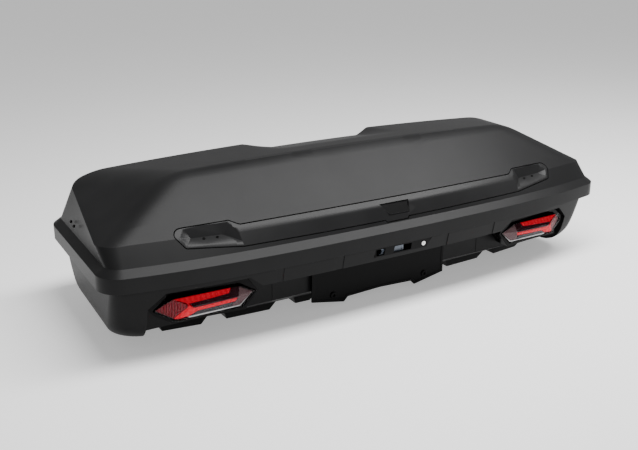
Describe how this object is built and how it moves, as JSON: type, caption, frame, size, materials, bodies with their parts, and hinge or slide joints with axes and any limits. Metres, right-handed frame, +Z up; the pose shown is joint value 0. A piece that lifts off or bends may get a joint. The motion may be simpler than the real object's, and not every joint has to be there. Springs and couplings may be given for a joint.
{
  "type": "rear cargo box",
  "caption": "Hard-shell car cargo box on a towbar platform: lifting lid with grip bar, faceted tail lamps, skids, gas struts and ball coupling.",
  "frame": {"origin": "bottom centre of the whole object's bounding box, on the ground under the skids", "axes": "+X along the box's length to its right seen from the lamps, +Y towards the car, +Z up"},
  "size_m": [1.5, 0.67, 0.393],
  "materials": {
    "lid_plastic": "fine-grained dark grey moulded plastic",
    "base_plastic": "fine-grained dark grey moulded plastic",
    "trim_plastic": "fine-grained moulded plastic, slightly smoother",
    "panel_black": "satin black moulded plastic",
    "lever_grey": "satin blue-grey plastic",
    "lamp_black": "gloss black plastic",
    "lamp_red": "clear-coated red lens plastic",
    "lamp_clear": "clear polycarbonate",
    "rubber": "matt black rubber",
    "zinc_steel": "zinc-plated steel",
    "black_steel": "black powder-coated steel",
    "lock_metal": "brushed nickel"
  },
  "bodies": {
    "base": {"base_shell": "base_plastic", "rim_seal": "rubber", "plate_panel": "panel_black", "release_bezel": "lamp_black", "platform_beam_front": "black_steel", "platform_beam_rear": "black_steel", "platform_spine": "black_steel", "coupling_housing": "black_steel", "floor_mat_left": "rubber", "floor_mat_right": "rubber", "skid_inner_left": "panel_black", "skid_inner_right": "panel_black", "skid_middle_left": "panel_black", "skid_middle_right": "panel_black", "skid_outer_left": "panel_black", "skid_outer_right": "panel_black", "panel_screw_left": "black_steel", "panel_screw_right": "black_steel", "lamp_housing_left": "lamp_black", "lamp_housing_right": "lamp_black", "lamp_light_guide_left": "lamp_red", "lamp_light_guide_right": "lamp_red", "lamp_lens_left": "lamp_clear", "lamp_lens_right": "lamp_clear", "striker_left": "zinc_steel", "striker_right": "zinc_steel", "hinge_leaf_base_left": "black_steel", "hinge_leaf_base_right": "black_steel", "hinge_pin_left": "zinc_steel", "hinge_pin_right": "zinc_steel", "strut_stud_base_left": "zinc_steel", "strut_stud_base_right": "zinc_steel"},
    "lid": {"lid_shell": "lid_plastic", "handle_trim": "trim_plastic", "lid_frame": "black_steel", "latch_guide_left": "panel_black", "latch_guide_right": "panel_black", "latch_guide_outer_left": "panel_black", "latch_guide_outer_right": "panel_black", "hinge_leaf_lid_left": "black_steel", "hinge_leaf_lid_right": "black_steel", "strut_bracket_lid_left": "black_steel", "strut_bracket_lid_right": "black_steel", "end_screw_front_left": "black_steel", "end_screw_front_right": "black_steel", "end_screw_back_left": "black_steel", "end_screw_back_right": "black_steel"},
    "lock_cover": {"lock_cover": "panel_black"},
    "lock_barrel": {"lock_barrel": "lock_metal"},
    "latch_bar_left": {"latch_bar_left": "zinc_steel"},
    "latch_bar_right": {"latch_bar_right": "zinc_steel"},
    "strut_cylinder_left": {"strut_cylinder_left": "black_steel"},
    "strut_cylinder_right": {"strut_cylinder_right": "black_steel"},
    "strut_rod_left": {"strut_rod_left": "zinc_steel"},
    "strut_rod_right": {"strut_rod_right": "zinc_steel"},
    "release_lever": {"release_lever": "lever_grey"},
    "release_lock": {"release_lock": "lock_metal"},
    "coupling_lever": {"coupling_lever": "zinc_steel"},
    "coupling_jaw": {"coupling_jaw": "zinc_steel"}
  },
  "joints": [
    {"name": "lid_open", "type": "hinge", "parent": "base", "child": "lid", "pos_m": [0, 0.202, 0.17], "axis": [-1, 0, 0], "range_deg": [0, 68]},
    {"name": "lock_cover_flip", "type": "hinge", "parent": "lid", "child": "lock_cover", "pos_m": [0, -0.28586, 0.27232], "axis": [-1, 0, 0], "range_deg": [0, 100]},
    {"name": "lock_turn", "type": "hinge", "parent": "lid", "child": "lock_barrel", "pos_m": [0, -0.29291, 0.25801], "axis": [0, -0.766, 0.6428], "range_deg": [0, 90]},
    {"name": "release_slide", "type": "slide", "parent": "base", "child": "release_lever", "axis": [1, 0, 0], "range_m": [0, 0.014], "stiffness_N_per_m": 200},
    {"name": "release_key_turn", "type": "hinge", "parent": "base", "child": "release_lock", "pos_m": [0.09, -0.3055, 0.153], "axis": [0, -1, 0], "range_deg": [0, 90]},
    {"name": "coupling_lever_swing", "type": "hinge", "parent": "base", "child": "coupling_lever", "pos_m": [0, 0.265, 0.09], "axis": [-1, 0, 0], "range_deg": [0, 70]},
    {"name": "coupling_jaw_swing", "type": "hinge", "parent": "base", "child": "coupling_jaw", "pos_m": [0, 0.3165, 0.079], "axis": [1, 0, 0], "range_deg": [0, 8]},
    {"name": "latch_left_slide", "type": "slide", "parent": "lid", "child": "latch_bar_left", "axis": [-1, 0, 0], "range_m": [0, 0.022]},
    {"name": "strut_left_swing", "type": "hinge", "parent": "base", "child": "strut_cylinder_left", "pos_m": [-0.684, 0.085, 0.085], "axis": [-1, 0, 0], "range_deg": [0, 48]},
    {"name": "strut_left_extend", "type": "slide", "parent": "strut_cylinder_left", "child": "strut_rod_left", "axis": [0, -0.3905, 0.9206], "range_m": [0, 0.145]},
    {"name": "latch_right_slide", "type": "slide", "parent": "lid", "child": "latch_bar_right", "axis": [1, 0, 0], "range_m": [0, 0.022]},
    {"name": "strut_right_swing", "type": "hinge", "parent": "base", "child": "strut_cylinder_right", "pos_m": [0.684, 0.085, 0.085], "axis": [-1, 0, 0], "range_deg": [0, 48]},
    {"name": "strut_right_extend", "type": "slide", "parent": "strut_cylinder_right", "child": "strut_rod_right", "axis": [0, -0.3905, 0.9206], "range_m": [0, 0.145]}
  ],
  "couplings": [
    {"joint": "coupling_jaw_swing", "follows": "coupling_lever_swing", "ratio": 0.1},
    {"joint": "latch_right_slide", "follows": "latch_left_slide", "ratio": 1},
    {"joint": "lock_turn", "follows": "latch_left_slide", "rad_per_m": 71.39},
    {"joint": "strut_left_swing", "follows": "lid_open", "ratio": 0.6947},
    {"joint": "strut_left_extend", "follows": "lid_open", "m_per_rad": 0.1208},
    {"joint": "strut_right_swing", "follows": "lid_open", "ratio": 0.6947},
    {"joint": "strut_right_extend", "follows": "lid_open", "m_per_rad": 0.1208}
  ]
}
